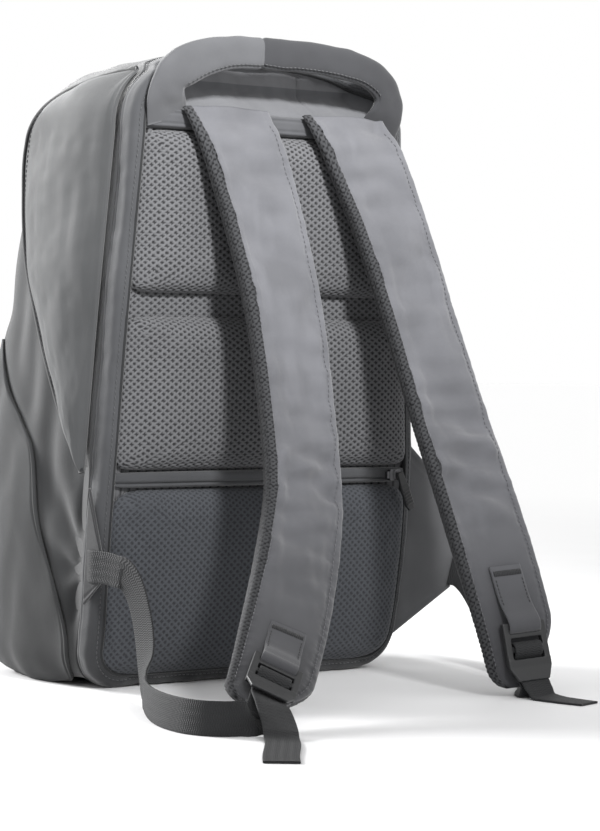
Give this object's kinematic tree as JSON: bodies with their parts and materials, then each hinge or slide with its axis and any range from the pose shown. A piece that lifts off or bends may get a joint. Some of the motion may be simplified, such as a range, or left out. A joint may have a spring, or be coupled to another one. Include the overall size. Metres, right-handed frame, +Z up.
{
  "type": "backpack",
  "caption": "Upright padded backpack with a mesh-padded back, arched top handle and loose shoulder straps with webbing laid on the floor.",
  "frame": {"origin": "middle of the flat base, on the floor", "axes": "+Z up, -Y out of the padded back panel where the shoulder straps are, +X to the right as seen looking at the back panel"},
  "size_m": [0.436, 0.502, 0.4537],
  "materials": {
    "cloth": "matte woven polyester",
    "strap_cloth": "matte woven polyester over foam",
    "mesh": "open air mesh over foam",
    "webbing": "ribbed woven webbing",
    "plastic": "moulded satin",
    "metal": "dark painted"
  },
  "bodies": {
    "root": {"body_shell": "cloth", "front_pouch": "cloth", "zip_gusset": "cloth", "back_panel": "mesh", "back_pad_upper": "mesh", "back_pad_middle": "mesh", "back_pad_lower": "mesh", "top_band": "cloth", "handle": "cloth", "side_pad_left": "cloth", "side_pad_right": "cloth", "anchor_wing_left": "cloth", "anchor_wing_right": "cloth", "strap_left": "strap_cloth", "strap_right": "strap_cloth", "strap_tab_left": "strap_cloth", "strap_tab_right": "strap_cloth", "buckle_left": "plastic", "buckle_right": "plastic", "webbing_left": "webbing", "webbing_right": "webbing", "webbing_tail_left": "webbing", "webbing_tail_right": "webbing", "pocket_zip": "cloth", "zip_slider": "metal", "zip_pull": "plastic"}
  },
  "joints": []
}
